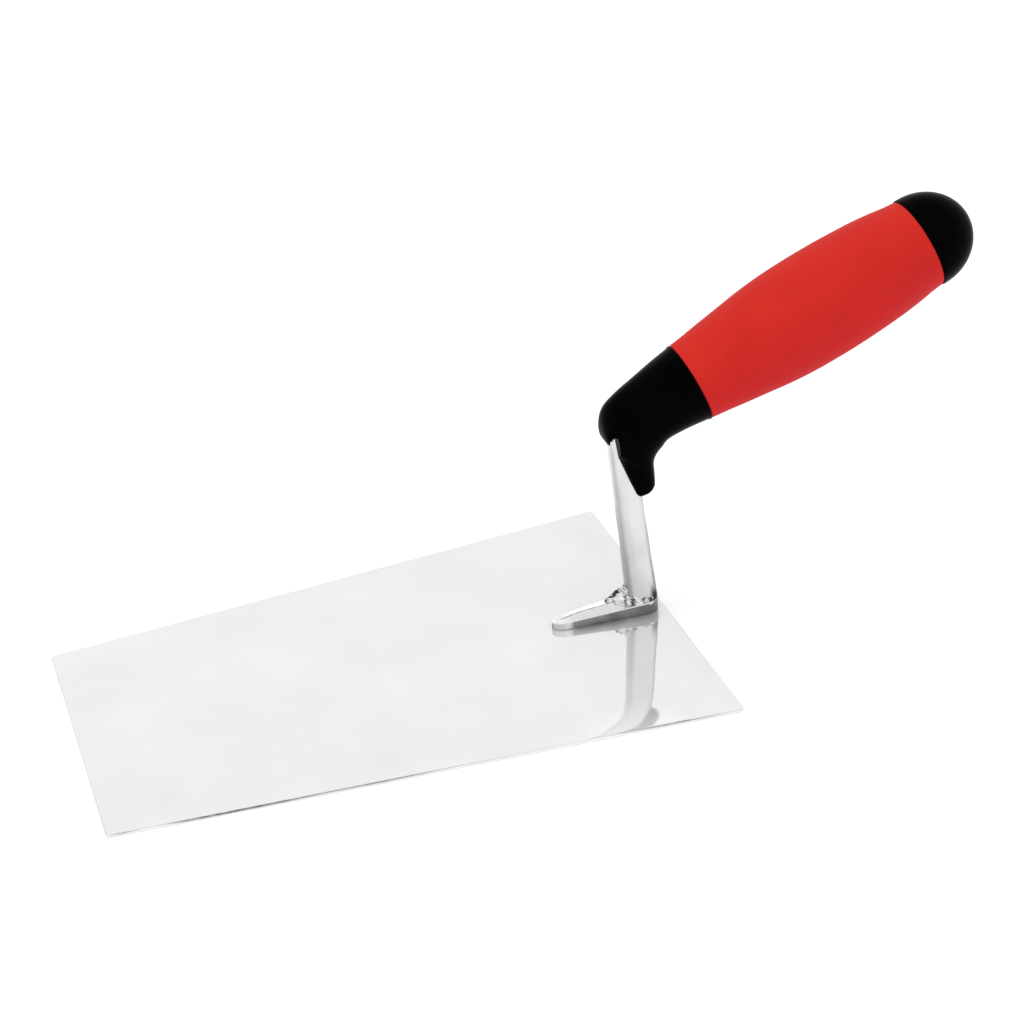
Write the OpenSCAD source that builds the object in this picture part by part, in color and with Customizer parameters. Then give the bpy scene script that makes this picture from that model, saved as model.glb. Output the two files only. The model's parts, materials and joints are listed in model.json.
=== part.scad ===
// Brick trowel: a square-ended steel blade on a welded foot, and a two-colour handle.
// Millimetres. The origin is the centre of the blade's flat underside, +X points to
// the heel and the handle, and +Z is up.

/* [Blade] */
// Length of the blade from its tip to its heel
blade_len = 200; // [180:5:220]
// Width of the blade at the heel, under the handle
blade_heel_w = 140; // [120:5:160]
// Width of the blade at its square tip
blade_tip_w = 108; // [90:2:118]
// Thickness of the steel sheet
blade_t = 1; // [0.8:0.1:1.6]
// Radius of the blade's corners
blade_corner_r = 1.2; // [0.6:0.2:4]

/* [Foot] */
// Length of the foot along the blade
foot_len = 37; // [32:1:44]
// Gap between the foot and the blade's heel edge
foot_setback = 2; // [1:0.5:6]
// Width of the foot at its round toe
foot_toe_w = 5.8; // [5:0.2:8]
// Width of the foot at its back end
foot_back_w = 10.4; // [10.4:0.2:14]
// Height of the foot's side walls at the toe
foot_toe_h = 2.8; // [2:0.1:4]
// Height of the foot's side walls at its back end
foot_back_h = 4.4; // [3.6:0.1:6]
// Height of the middle ridge above the side walls
ridge_h = 1.2; // [0.6:0.1:2]
// Diameter of each spot weld under the foot
spot_d = 4; // [3:0.5:5]

/* [Neck] */
// Where the neck's centre line meets the blade's underside, from the heel edge
neck_setback = 7; // [7:0.1:7.4]
// Forward lean of the neck from upright
neck_lean = 4.6; // [3.6:0.1:6]
// Length of the neck's section along the blade, at the foot
neck_base_len = 10.4; // [9:0.2:10.4]
// Thickness of the neck from side to side, at the foot
neck_base_w = 7; // [6:0.2:8]
// Length of the neck's section at the bend
neck_top_len = 8.8; // [8:0.2:10]
// Thickness of the neck from side to side, at the bend
neck_top_w = 6.4; // [5.6:0.2:7]
// Radius of the bend's centre line
bend_r = 9; // [8:0.5:10]
// Length of the tang inside the handle
tang_len = 64; // [40:2:80]

/* [Handle] */
// Height of the handle's axis at the front end of the sleeve
grip_z = 81.5; // [80:0.5:84]
// Distance from the heel edge back to the front end of the sleeve
grip_back = 13; // [12:0.5:15]
// Tilt of the handle above horizontal
grip_tilt = 21.9; // [20:0.1:24]
// Length of the sleeve
grip_len = 86.8; // [80:0.4:100]
// Radius of the sleeve at its front end
grip_front_r = 13.5; // [12.5:0.1:14.5]
// Radius of the sleeve at its belly
grip_belly_r = 18.2; // [17:0.1:20]
// Radius of the sleeve at its back end
grip_back_r = 15.3; // [14.5:0.1:16]
// Distance of the belly from the sleeve's front end
belly_pos = 48; // [40:1:56]
// Thickness of the sleeve over the core
sleeve_t = 2.6; // [2:0.2:3.4]
// Radius of the end cap
cap_r = 15.7; // [15:0.1:16.5]
// Straight length of the end cap before its dome
cap_straight = 1.2; // [0.8:0.2:3]
// Length of the end cap's dome
cap_dome = 17.7; // [14:0.1:22]

/* [Hidden] */
$fn = 48;
heel_x = blade_len / 2;
corner_steps = 6;
ring_points = 32;

// Foot: centres of its round ends, and the ridge along the middle of its top
foot_back_x = heel_x - foot_setback - foot_back_w / 2;
foot_toe_x = heel_x - foot_setback - foot_len + foot_toe_w / 2;
ridge_w = 0.4;
ridge_rise = 8;
spot_depth = 0.5;
spot_first = 4;
spot_pitch = 9;
spot_count = 3;

// Centre line of the shank, as [x, z] points and headings in the middle plane
neck_foot = [heel_x - neck_setback, 0];
neck_heading = 90 + neck_lean;
grip_start = [heel_x + grip_back, grip_z];
turn = neck_heading - grip_tilt;
grip_dir = [cos(grip_tilt), sin(grip_tilt)];
neck_dir = [cos(neck_heading), sin(neck_heading)];
to_grip = grip_start - neck_foot;
neck_run = (to_grip.x * grip_dir.y - to_grip.y * grip_dir.x)
         / (neck_dir.x * grip_dir.y - neck_dir.y * grip_dir.x);
corner = neck_foot + neck_run * neck_dir;
bend_cut = bend_r * tan(turn / 2);
bend_start = corner - bend_cut * neck_dir;
bend_end = corner + bend_cut * grip_dir;
bend_centre = bend_start + bend_r * [neck_dir.y, -neck_dir.x];
bend_steps = 8;
neck_sink = 0.5;

// Round tang: it starts inside the bend and tapers to its end
tang_overlap = 3;
tang_d = neck_top_w - 0.8;
tang_tip_d = 4.4;

// Weld bead round the neck
weld_toe_len = 6.5;
weld_margin = 0.9;
weld_h = 4;
weld_tuck = 1;

// Core, in distances along the handle's axis from the sleeve's front end
core_nose_len = 12;
core_nose_r = 8.5;
core_cap_len = 9;
core_cap_r = 10.5;
grip_steps = 24;
front_power = 1.6;
back_power = 2.2;
dome_steps = 14;

// Stations of the nose and finger guard, from the sleeve down to the guard's tip. Each is
// [front x, front z, back x, back z, half width, squareness], in mm from the corner where
// the neck's and the handle's centre lines cross.
nose_fall = [
    [6.9, 14.3, 16.0, -6.6, 11.2, 2],
    [1.1, 10.4, 13.8, -9.4, 10.6, 2],
    [-3.5, 6.7, 12.4, -12.0, 9.8, 2.1],
    [-5.3, 2.4, 11.6, -14.6, 9.0, 2.3],
    [-4.6, -2.6, 11.1, -17.4, 8.0, 2.6],
    [-1.4, -8.4, 10.8, -20.2, 6.8, 3],
    [1.4, -15.2, 10.7, -22.6, 5.6, 3.2],
    [3.7, -21.4, 10.4, -24.5, 4.8, 3.4],
    [5.2, -24.9, 9.6, -25.9, 4.2, 3.2],
    [6.2, -26.3, 8.6, -26.8, 2, 2.4]
];
nose_steps = 4;
nose_lead = 8;
nose_narrowing = 1.3;

function mix(a, b, t) = a + (b - a) * t;

// Outer radius of the sleeve at a distance s from its front end
function grip_r(s) = s < belly_pos
    ? mix(grip_belly_r, grip_front_r, pow(1 - s / belly_pos, front_power))
    : mix(grip_belly_r, grip_back_r, pow((s - belly_pos) / (grip_len - belly_pos), back_power));

// Station of the nose on the handle's axis, s before the sleeve, as a round section
function barrel_station(s, r) =
    let (c = grip_start - corner - s * grip_dir, up = [-grip_dir.y, grip_dir.x])
    [c.x + r * up.x, c.y + r * up.y, c.x - r * up.x, c.y - r * up.y, r, 2];

// Smooth curve through list p, at step t of interval i
function through(p, i, t) =
    let (a = p[max(i - 1, 0)], b = p[i], c = p[i + 1], d = p[min(i + 2, len(p) - 1)])
    0.5 * (2 * b + (c - a) * t + (2 * a - 5 * b + 4 * c - d) * t * t
    + (3 * b - a - 3 * c + d) * t * t * t);

// One closed ring of points for a station
function nose_ring(v) =
    let (mid = [v[0] + v[2], v[1] + v[3]] / 2, arm = [v[0] - v[2], v[1] - v[3]] / 2, n = v[5])
    [for (i = [0 : ring_points - 1])
        let (a = 360 * i / ring_points, c = cos(a), s = sin(a),
             k = pow(pow(abs(c), n) + pow(abs(s), n), -1 / n))
        [corner.x + mid.x + arm.x * c * k, v[4] * s * k, corner.y + mid.y + arm.y * c * k]];

// Solid skin over rings of points
module loft(rings) {
    n = ring_points;
    last = len(rings) - 1;
    polyhedron(
        points = [for (r = rings) for (p = r) p],
        faces = concat(
            [[for (i = [0 : n - 1]) i]],
            [[for (i = [n - 1 : -1 : 0]) last * n + i]],
            [for (r = [0 : last - 1]) for (i = [0 : n - 1]) let (j = (i + 1) % n)
                [r * n + i, (r + 1) * n + i, (r + 1) * n + j]],
            [for (r = [0 : last - 1]) for (i = [0 : n - 1]) let (j = (i + 1) % n)
                [r * n + i, (r + 1) * n + j, r * n + j]]
        )
    );
}

// Puts a shape that is drawn along +Z onto the handle's axis, s from the sleeve's front
module on_grip_axis(s = 0) {
    translate([grip_start.x, 0, grip_start.y])
        rotate([0, 90 - grip_tilt, 0])
            translate([0, 0, s])
                children();
}

// Points of a bar's section with round edges: length along x, width along y
function bar_section(length, width) =
    [for (k = [0 : ring_points - 1])
        let (a = 360 * (k + 0.5) / ring_points)
        [sign(cos(a)) * (length - width) / 2 + width / 2 * cos(a), width / 2 * sin(a)]];

// The same section as a ring round point c of the shank's centre line, at a heading
function shank_ring(c, heading, length, width) =
    [for (p = bar_section(length, width))
        [c.x + p.x * sin(heading), p.y, c.y - p.x * cos(heading)]];

// Rounded trapezoid. Each corner is [x side, y side, first and last angle of its arc].
module blade_outline() {
    side_angle = atan((blade_heel_w - blade_tip_w) / 2 / blade_len);
    corners = [[-1, -1, 180, 270 - side_angle], [1, -1, 270 - side_angle, 360],
               [1, 1, 0, 90 + side_angle], [-1, 1, 90 + side_angle, 180]];
    polygon([for (c = corners)
        let (x = c[0] * (heel_x - blade_corner_r),
             edge_y = mix(blade_tip_w, blade_heel_w, x / blade_len + 0.5) / 2,
             y = c[1] * (edge_y - blade_corner_r / cos(side_angle)))
        for (k = [0 : corner_steps])
            let (a = mix(c[2], c[3], k / corner_steps))
            [x, y] + blade_corner_r * [cos(a), sin(a)]]);
}

module spot_welds() {
    for (k = [0 : spot_count - 1])
        translate([foot_toe_x + spot_first + k * spot_pitch, 0, blade_t - spot_depth])
            cylinder(d = spot_d, h = 2 * spot_depth);
}

// Foot with its ridge, before the spot welds are taken out of it
module foot_body() {
    translate([0, 0, blade_t])
        hull() {
            translate([foot_toe_x, 0, 0])
                cylinder(d = foot_toe_w, h = foot_toe_h);
            translate([foot_back_x, 0, 0])
                cylinder(d = foot_back_w, h = foot_back_h);
            translate([0, ridge_w / 2, 0])
                rotate([90, 0, 0])
                    linear_extrude(ridge_w)
                        polygon([[foot_toe_x, 0],
                                 [foot_toe_x, foot_toe_h],
                                 [foot_toe_x + ridge_rise, foot_toe_h + ridge_h],
                                 [foot_back_x, foot_back_h + ridge_h],
                                 [foot_back_x, 0]]);
        }
}

module tang() {
    on_grip_axis(-norm(grip_start - bend_end) - tang_overlap)
        cylinder(d1 = tang_d, d2 = tang_tip_d, h = tang_overlap + tang_len);
}

// Neck and bend in one skin, with the tang on its end
module shank_body() {
    neck_start = neck_foot + (blade_t + foot_back_h - neck_sink) * neck_dir;
    loft(concat(
        [shank_ring(neck_start, neck_heading, neck_base_len, neck_base_w)],
        [for (k = [0 : bend_steps])
            let (heading = neck_heading - turn * k / bend_steps,
                 c = bend_centre + bend_r * [-sin(heading), cos(heading)])
            shank_ring(c, heading, neck_top_len, neck_top_w)]));
    tang();
}

// Egg-shaped ring of the weld bead at height z, with its long end towards the toe
function weld_ring(z, front, back, half_w) =
    [for (k = [0 : ring_points - 1])
        let (a = 360 * k / ring_points)
        [foot_back_x + (cos(a) > 0 ? back : front) * cos(a), half_w * sin(a), z]];

module core_body() {
    on_grip_axis()
        rotate_extrude()
            polygon(concat(
                [[0, -core_nose_len], [core_nose_r, -core_nose_len], [core_nose_r, 0]],
                [for (k = [0 : grip_steps])
                    let (s = k / grip_steps * grip_len)
                    [grip_r(s) - sleeve_t, s]],
                [[core_cap_r, grip_len], [core_cap_r, grip_len + core_cap_len],
                 [0, grip_len + core_cap_len]]
            ));
}

// ---- Pieces ----

module blade() {
    color("gainsboro")
        difference() {
            linear_extrude(blade_t)
                blade_outline();
            spot_welds();
        }
}

module foot() {
    color("silver")
        difference() {
            foot_body();
            spot_welds();
        }
}

module foot_spot_welds() {
    color("dimgray") spot_welds();
}

module shank() {
    color("lightgray")
        difference() {
            shank_body();
            foot_body();
        }
}

// Bead round the neck's front and sides, with a long toe forward along the ridge. Its
// back end and its top ring lie inside the neck.
module neck_weld() {
    half_len = neck_base_len / 2;
    half_w = neck_base_w / 2;
    back = half_len / 2;
    color("darkgray")
        difference() {
            loft([
                weld_ring(blade_t + foot_toe_h, half_len + weld_toe_len, back,
                          half_w + weld_margin),
                weld_ring(blade_t + foot_back_h + ridge_h, half_len + weld_toe_len / 2, back,
                          half_w + weld_margin),
                weld_ring(blade_t + foot_back_h + weld_h, half_len - weld_tuck, back / 2,
                          half_w - weld_tuck)
            ]);
            shank_body();
            foot_body();
        }
}

module handle_core() {
    color("dimgray")
        difference() {
            core_body();
            tang();
        }
}

module nose_guard() {
    rings = concat(
        [barrel_station(0, grip_front_r), barrel_station(nose_lead, grip_front_r - nose_narrowing)],
        nose_fall);
    color("black")
        difference() {
            loft(concat(
                [for (i = [0 : len(rings) - 2]) for (k = [0 : nose_steps - 1])
                    nose_ring(through(rings, i, k / nose_steps))],
                [nose_ring(rings[len(rings) - 1])]));
            core_body();
            shank_body();
        }
}

module grip_sleeve() {
    outer = [for (k = [0 : grip_steps])
        let (s = k / grip_steps * grip_len)
        [grip_r(s), s]];
    color("firebrick")
        on_grip_axis()
            rotate_extrude()
                polygon(concat(outer,
                    [for (k = [grip_steps : -1 : 0]) outer[k] - [sleeve_t, 0]]));
}

module end_cap() {
    dome_s = grip_len + cap_straight;
    color("black")
        on_grip_axis()
            rotate_extrude()
                polygon(concat(
                    [[0, grip_len + core_cap_len], [core_cap_r, grip_len + core_cap_len],
                     [core_cap_r, grip_len], [cap_r, grip_len]],
                    [for (k = [0 : dome_steps])
                        let (a = 90 * k / dome_steps)
                        [cap_r * cos(a), dome_s + cap_dome * sin(a)]]));
}

blade();
foot();
foot_spot_welds();
shank();
neck_weld();
handle_core();
nose_guard();
grip_sleeve();
end_cap();
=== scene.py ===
"""A brick trowel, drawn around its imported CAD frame. Lengths are millimetres until to_metres()."""

import json
import math

import bmesh
import bpy
from mathutils import Matrix, Vector, noise


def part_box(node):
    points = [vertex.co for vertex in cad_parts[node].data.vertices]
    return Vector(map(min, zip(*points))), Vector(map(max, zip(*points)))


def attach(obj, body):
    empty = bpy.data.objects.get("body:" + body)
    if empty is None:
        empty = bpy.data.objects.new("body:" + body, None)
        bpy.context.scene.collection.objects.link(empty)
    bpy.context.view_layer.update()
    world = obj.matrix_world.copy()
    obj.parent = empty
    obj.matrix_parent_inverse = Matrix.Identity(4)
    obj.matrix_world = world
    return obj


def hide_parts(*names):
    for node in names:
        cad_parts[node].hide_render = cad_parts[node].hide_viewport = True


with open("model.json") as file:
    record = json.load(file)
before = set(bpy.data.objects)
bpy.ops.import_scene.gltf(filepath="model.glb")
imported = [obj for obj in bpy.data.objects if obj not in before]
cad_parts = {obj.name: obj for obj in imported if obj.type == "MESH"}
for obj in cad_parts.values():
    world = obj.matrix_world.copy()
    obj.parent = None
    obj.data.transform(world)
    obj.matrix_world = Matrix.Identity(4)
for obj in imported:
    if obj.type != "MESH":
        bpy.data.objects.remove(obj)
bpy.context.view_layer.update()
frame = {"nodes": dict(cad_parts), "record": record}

MM = 0.001
# Which of the many noise patterns wrinkle() uses
SEED = 7
RIGHT_ANGLE = math.pi / 2


# ---------------------------------------------------------------- places from the frame

def node_box(node):
    """Lowest and highest corner of a CAD node, in millimetres."""
    low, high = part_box(node)
    return low / MM, high / MM


def mount(name):
    """Place, in millimetres, and axis of one of the record's mounts."""
    row = next(m for m in frame["record"]["mounts"] if m["name"] == name)
    return Vector(row["pos_m"]) / MM, Vector(row["axis"]).normalized()


BLADE_LOW, BLADE_HIGH = node_box("blade")
FOOT_LOW, FOOT_HIGH = node_box("foot")
HEEL_X = BLADE_HIGH.x
TOP_Z = BLADE_HIGH.z
BLADE_LEN = BLADE_HIGH.x - BLADE_LOW.x
# Half widths at the blade's corners. Rounding takes a little off the width that the box shows
ROUNDED_OFF = 0.1
HEEL_HALF_W = BLADE_HIGH.y + ROUNDED_OFF
TIP_HALF_W = 54.0

# The handle's axis, and distances along it from the front end of the CAD's sleeve
BELLY_POS = 48.0
SLEEVE_LEN = 86.8
belly, GRIP_DIR = mount("grip")
GRIP_START = belly - BELLY_POS * GRIP_DIR
GRIP_UP = Vector((-GRIP_DIR.z, 0, GRIP_DIR.x))
SIDE = Vector((0, 1, 0))

# The foot: the radius and centre of its round back end, the half width and centre of its toe, the
# length of the toe's taper, and how far the toe reaches past the CAD foot
FOOT_BACK_R = FOOT_HIGH.y
FOOT_TOE_R = 2.9
FOOT_TOE_LONG = 5.2
FOOT_TOE_REACH = 0.6
FOOT_BACK_X = FOOT_HIGH.x - FOOT_BACK_R
FOOT_TOE_X = FOOT_LOW.x + FOOT_TOE_R - FOOT_TOE_REACH
# Heights of the foot's wall and of the ridge above it, and the length over which the ridge rises
WALL_TOE_H = 2.8
WALL_BACK_H = 4.4
RIDGE_H = 0.95
RIDGE_RISE = 8.0

# The neck: its centre line runs up from the foot, leaning forward, and bends into the handle
NECK_SETBACK = 7.0
NECK_LEAN = math.radians(4.6)
NECK_FOOT = Vector((HEEL_X - NECK_SETBACK, 0, 0))
NECK_DIR = Vector((-math.sin(NECK_LEAN), 0, math.cos(NECK_LEAN)))
BEND_R = 9.0


def line_crossing(p, d, q, e):
    """Where two lines in the XZ plane cross."""
    w = q - p
    run = (w.x * e.z - w.z * e.x) / (d.x * e.z - d.z * e.x)
    return p + run * d


def rearward(heading):
    """The way towards the heel, square to a heading in the XZ plane."""
    return Vector((heading.z, 0, -heading.x))


CORNER = line_crossing(NECK_FOOT, NECK_DIR, GRIP_START, GRIP_DIR)


# ---------------------------------------------------------------- mesh helpers

def lerp(a, b, t):
    """From a at t = 0 to b at t = 1, in a straight line."""
    return a + (b - a) * t


def smooth(t):
    """0 up to t = 0, 1 from t = 1 on, and a soft step between."""
    t = min(1.0, max(0.0, t))
    return t * t * (3 - 2 * t)


def quarter(steps):
    """Angles from 0 to a right angle, both included."""
    return [RIGHT_ANGLE * k / steps for k in range(steps + 1)]


def squircle(c, s, power):
    """Reach of a unit outline in the direction (c, s). Power 2 makes it round, 4 nearly square."""
    return (abs(c) ** power + abs(s) ** power) ** (-1 / power)


def curve(knots, t):
    """Smooth value at t of a list of (t, value) knots. A value is a number or a tuple."""
    last = len(knots) - 1
    i = 0
    while i < last - 1 and t > knots[i + 1][0]:
        i += 1
    t0, t1 = knots[i][0], knots[i + 1][0]
    u = min(1.0, max(0.0, (t - t0) / (t1 - t0)))

    def one(get):
        def slope(j):
            a, b = max(j - 1, 0), min(j + 1, last)
            return (get(knots[b]) - get(knots[a])) / (knots[b][0] - knots[a][0])
        p0, p1 = get(knots[i]), get(knots[i + 1])
        m0, m1 = slope(i) * (t1 - t0), slope(i + 1) * (t1 - t0)
        return ((2 * u**3 - 3 * u**2 + 1) * p0 + (u**3 - 2 * u**2 + u) * m0
                + (3 * u**2 - 2 * u**3) * p1 + (u**3 - u**2) * m1)

    if isinstance(knots[0][1], tuple):
        return tuple(one(lambda k, c=c: k[1][c]) for c in range(len(knots[0][1])))
    return one(lambda k: k[1])


def skin(rings, close_first=True, close_last=True):
    """Points and faces of a closed skin over rings of equal length. A ring may be one point."""
    n = max(len(r) for r in rings)
    points, starts = [], []
    for r in rings:
        starts.append(len(points))
        points.extend(r)
    faces = []
    for a in range(len(rings) - 1):
        p, q = starts[a], starts[a + 1]
        for i in range(n):
            j = (i + 1) % n
            if len(rings[a]) == 1:
                faces.append((p, q + j, q + i))
            elif len(rings[a + 1]) == 1:
                faces.append((p + i, p + j, q))
            else:
                faces.append((p + i, p + j, q + j, q + i))
    if close_first and len(rings[0]) > 1:
        faces.append(tuple(starts[0] + i for i in reversed(range(n))))
    if close_last and len(rings[-1]) > 1:
        faces.append(tuple(starts[-1] + i for i in range(n)))
    return points, faces


def to_metres(name, points, faces, flat_normals=False):
    """A new object from millimetre points, with its faces turned outward."""
    mesh = bpy.data.meshes.new(name)
    mesh.from_pydata([Vector(p) * MM for p in points], [], faces)
    work = bmesh.new()
    work.from_mesh(mesh)
    bmesh.ops.remove_doubles(work, verts=work.verts, dist=1e-7)
    bmesh.ops.recalc_face_normals(work, faces=work.faces)
    for f in work.faces:
        f.smooth = not flat_normals
    work.to_mesh(mesh)
    work.free()
    obj = bpy.data.objects.new(name, mesh)
    bpy.context.scene.collection.objects.link(obj)
    return obj


def paint(obj, name, value):
    """Stores value(point in millimetres), from 0 to 1, on each vertex for a material to read."""
    layer = obj.data.attributes.new(name, "FLOAT", "POINT")
    layer.data.foreach_set("value", [value(v.co / MM) for v in obj.data.vertices])


def wrinkle(p, scale, seed=0.0):
    """Smooth noise from -1 to 1 at a point, with lumps of about 1 / scale."""
    return noise.noise(Vector(p) * scale + Vector((seed, SEED, 0)))


# ---------------------------------------------------------------- materials

def grey(tone):
    """A neutral colour."""
    return (tone, tone, tone)


class Nodes:
    """Short calls for building a material's node tree."""

    # A Mix node's colour sockets go by number, because its other kinds of socket share their names
    MIX_A, MIX_B, MIX_RESULT = 6, 7, 2

    def __init__(self, name):
        self.material = bpy.data.materials.new(name)
        self.material.use_nodes = True
        self.tree = self.material.node_tree
        self.shader = self.tree.nodes["Principled BSDF"]
        self.where = self.tree.nodes.new("ShaderNodeTexCoord").outputs["Object"]

    def link(self, a, b):
        self.tree.links.new(a, b)

    def noise(self, scale, detail, rough=0.55, stretch=None):
        """Noise over the object, in lumps per millimetre. stretch is (scale, rotation) of its space."""
        place = self.where
        if stretch:
            mapping = self.tree.nodes.new("ShaderNodeMapping")
            mapping.inputs["Rotation"].default_value = stretch[1]
            mapping.inputs["Scale"].default_value = stretch[0]
            self.link(self.where, mapping.inputs["Vector"])
            place = mapping.outputs["Vector"]
        node = self.tree.nodes.new("ShaderNodeTexNoise")
        node.inputs["Scale"].default_value = scale / MM
        node.inputs["Detail"].default_value = detail
        node.inputs["Roughness"].default_value = rough
        self.link(place, node.inputs["Vector"])
        return node.outputs["Fac"]

    def ramp(self, value, low, high, out_low, out_high):
        """Maps a value's low..high onto out_low..out_high, clamped."""
        node = self.tree.nodes.new("ShaderNodeMapRange")
        ends = {"From Min": low, "From Max": high, "To Min": out_low, "To Max": out_high}
        for key, v in ends.items():
            node.inputs[key].default_value = v
        self.link(value, node.inputs["Value"])
        return node.outputs["Result"]

    def maths(self, operation, a, b):
        """A Math node; each of a and b is a number or an output."""
        node = self.tree.nodes.new("ShaderNodeMath")
        node.operation = operation
        for socket, v in zip(node.inputs, (a, b)):
            if isinstance(v, (int, float)):
                socket.default_value = v
            else:
                self.link(v, socket)
        return node.outputs["Value"]

    def mix(self, factor, a, b):
        """Mixes two colours; each is a tuple or an output."""
        node = self.tree.nodes.new("ShaderNodeMix")
        node.data_type = "RGBA"
        self.link(factor, node.inputs["Factor"])
        for key, v in ((self.MIX_A, a), (self.MIX_B, b)):
            if isinstance(v, tuple):
                node.inputs[key].default_value = (*v, 1)
            else:
                self.link(v, node.inputs[key])
        return node.outputs[self.MIX_RESULT]

    def beside_foot(self, reach_mm):
        """1 on the blade against the middle of the foot's near wall, falling to 0 at a distance from it."""
        toe_fade, back_fade, thin_tail, under = 6.0, 5.0, 12.0, 2.0
        toe, back = FOOT_TOE_X, FOOT_BACK_X
        x, y = self.axis("X"), self.axis("Y")
        half = self.ramp(x, toe * MM, back * MM, FOOT_TOE_R * MM, FOOT_BACK_R * MM)
        away = self.maths("SUBTRACT", self.maths("MULTIPLY", y, -1.0), half)
        parts = [
            self.ramp(away, MM, reach_mm * MM, 1, 0),
            self.ramp(y, -under * MM, 0, 1, 0),
            self.ramp(x, toe * MM, (toe + toe_fade) * MM, 0, 1),
            self.ramp(x, back * MM, (back + back_fade) * MM, 1, 0),
            self.ramp(x, (back - thin_tail) * MM, back * MM, 1, 0.5),
        ]
        product = parts[0]
        for part in parts[1:]:
            product = self.maths("MULTIPLY", product, part)
        return product

    def axis(self, letter):
        """One coordinate over the object, in metres."""
        parts = self.tree.nodes.new("ShaderNodeSeparateXYZ")
        self.link(self.where, parts.inputs["Vector"])
        return parts.outputs[letter]

    def painted(self, name):
        """The mesh's own painted value of that name, from 0 to 1."""
        node = self.tree.nodes.new("ShaderNodeAttribute")
        node.attribute_name = name
        return node.outputs["Fac"]

    def bump(self, height, depth_mm, strength=1.0, under=None):
        """A normal with bumps of that depth, on top of another normal if one is given."""
        node = self.tree.nodes.new("ShaderNodeBump")
        node.inputs["Strength"].default_value = strength
        node.inputs["Distance"].default_value = depth_mm * MM
        self.link(height, node.inputs["Height"])
        if under:
            self.link(under, node.inputs["Normal"])
        return node.outputs["Normal"]

    def set(self, **values):
        """Sets shader sockets: numbers and colours stay on the socket, outputs are linked."""
        for key, v in values.items():
            socket = self.shader.inputs[key.replace("_", " ").title().replace("Ior", "IOR")]
            if isinstance(v, bpy.types.NodeSocket):
                self.link(v, socket)
            elif isinstance(v, tuple):
                socket.default_value = (*v, 1)
            else:
                socket.default_value = v
        return self.material


def blade_steel():
    """Bright polished sheet: a mirror with a pale veil of fine scratches, a dark cut edge, and painted
    shade beside the foot.
    """
    n = Nodes("blade_steel")
    haze = n.noise(0.02, 3)
    scratch = n.noise(0.25, 2, stretch=((1, 40, 1), (0, 0, 0.5)))
    rough = n.maths("ADD", n.ramp(haze, 0.3, 0.7, 0.03, 0.055), n.ramp(scratch, 0.66, 0.74, 0.0, 0.05))
    tone = n.ramp(n.noise(0.03, 4), 0.3, 0.7, 0, 1)
    colour = n.mix(tone, grey(0.765), grey(0.81))
    nicks = n.ramp(n.noise(0.5, 4, 0.6), 0.36, 0.5, 0.78, 1)
    # A dark line painted along the cut edge, as strong as the edge value set along the blade
    dark_edge_line = n.maths("MULTIPLY", n.painted("dark_edge_line"), nicks)
    colour = n.mix(dark_edge_line, colour, grey(0.02))
    # Painted shade on the blade beside the foot's near wall, in patches, standing in for the wall's dark
    # reflection and the shade at its foot
    patches_and_shade = n.maths("MULTIPLY", n.beside_foot(4.2), n.ramp(n.noise(0.3, 4), 0.3, 0.6, 0.55, 0.72))
    colour = n.mix(patches_and_shade, colour, grey(0.16))
    normal = n.bump(n.noise(0.05, 2), 0.006)
    veil = n.ramp(n.painted("rubbed"), 0, 1, 0.68, 0.42)
    return n.set(base_color=colour, metallic=veil, roughness=rough, normal=normal)


def plated_steel():
    """Bright plating over a formed bar: soft waves, a satin haze, and painted shade near its corners that
    stands in for their dark reflections.
    """
    n = Nodes("plated_steel")
    haze = n.noise(0.22, 4)
    wave = n.noise(0.09, 2)
    pits = n.maths("MULTIPLY", n.ramp(n.noise(0.9, 2), 0.74, 0.8, 0, 1), n.ramp(haze, 0.4, 0.6, 0, 1))
    colour = n.mix(n.ramp(n.noise(0.12, 5), 0.3, 0.75, 0, 1), grey(0.74), grey(0.66))
    colour = n.mix(pits, colour, grey(0.35))
    patches = n.ramp(n.noise(0.35, 4, 0.6), 0.35, 0.6, 0.75, 1)
    # The painted scale value is painted shade along the bar's corners
    colour = n.mix(n.maths("MULTIPLY", n.painted("scale"), patches), colour, grey(0.03))
    rough = n.ramp(haze, 0.3, 0.7, 0.26, 0.38)
    normal = n.bump(wave, 0.12, 0.6)
    normal = n.bump(haze, 0.02, 0.5, normal)
    return n.set(base_color=colour, metallic=1.0, roughness=rough, normal=normal)


def foot_steel():
    """Plating over a forged foot: bright on its roof, dark on the sheared walls and the ridge line; the
    wall value also paints a highlight, a contact shadow and shade.
    """
    dark_tail = 14.0
    n = Nodes("foot_steel")
    haze = n.noise(0.3, 4)
    patches_and_shade = n.noise(0.5, 5, 0.65)
    # The painted wall value carries painted light too: a highlight and dark outline round the toe, a
    # contact shadow at the blade and shade at the back end
    wall = n.painted("wall")
    roof = n.mix(n.ramp(patches_and_shade, 0.35, 0.7, 0, 1), grey(0.97), grey(0.82))
    ridge = n.maths("MULTIPLY", n.painted("ridge"), n.ramp(patches_and_shade, 0.3, 0.5, 0.55, 1))
    roof = n.mix(ridge, roof, grey(0.04))
    side = n.mix(n.ramp(n.noise(0.08, 3), 0.35, 0.65, 0, 1), grey(0.2), grey(0.38))
    tail = n.ramp(n.axis("X"), (FOOT_BACK_X - dark_tail) * MM, FOOT_BACK_X * MM, 0, 0.45)
    side = n.mix(tail, side, grey(0.1))
    normal = n.bump(haze, 0.1, 0.6)
    normal = n.bump(n.noise(1.6, 3), 0.012, 0.5, normal)
    rough = n.maths("ADD", n.ramp(haze, 0.3, 0.7, 0.08, 0.18), n.maths("MULTIPLY", wall, 0.18))
    return n.set(base_color=n.mix(wall, roof, side), metallic=1.0, roughness=rough, normal=normal)


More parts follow.
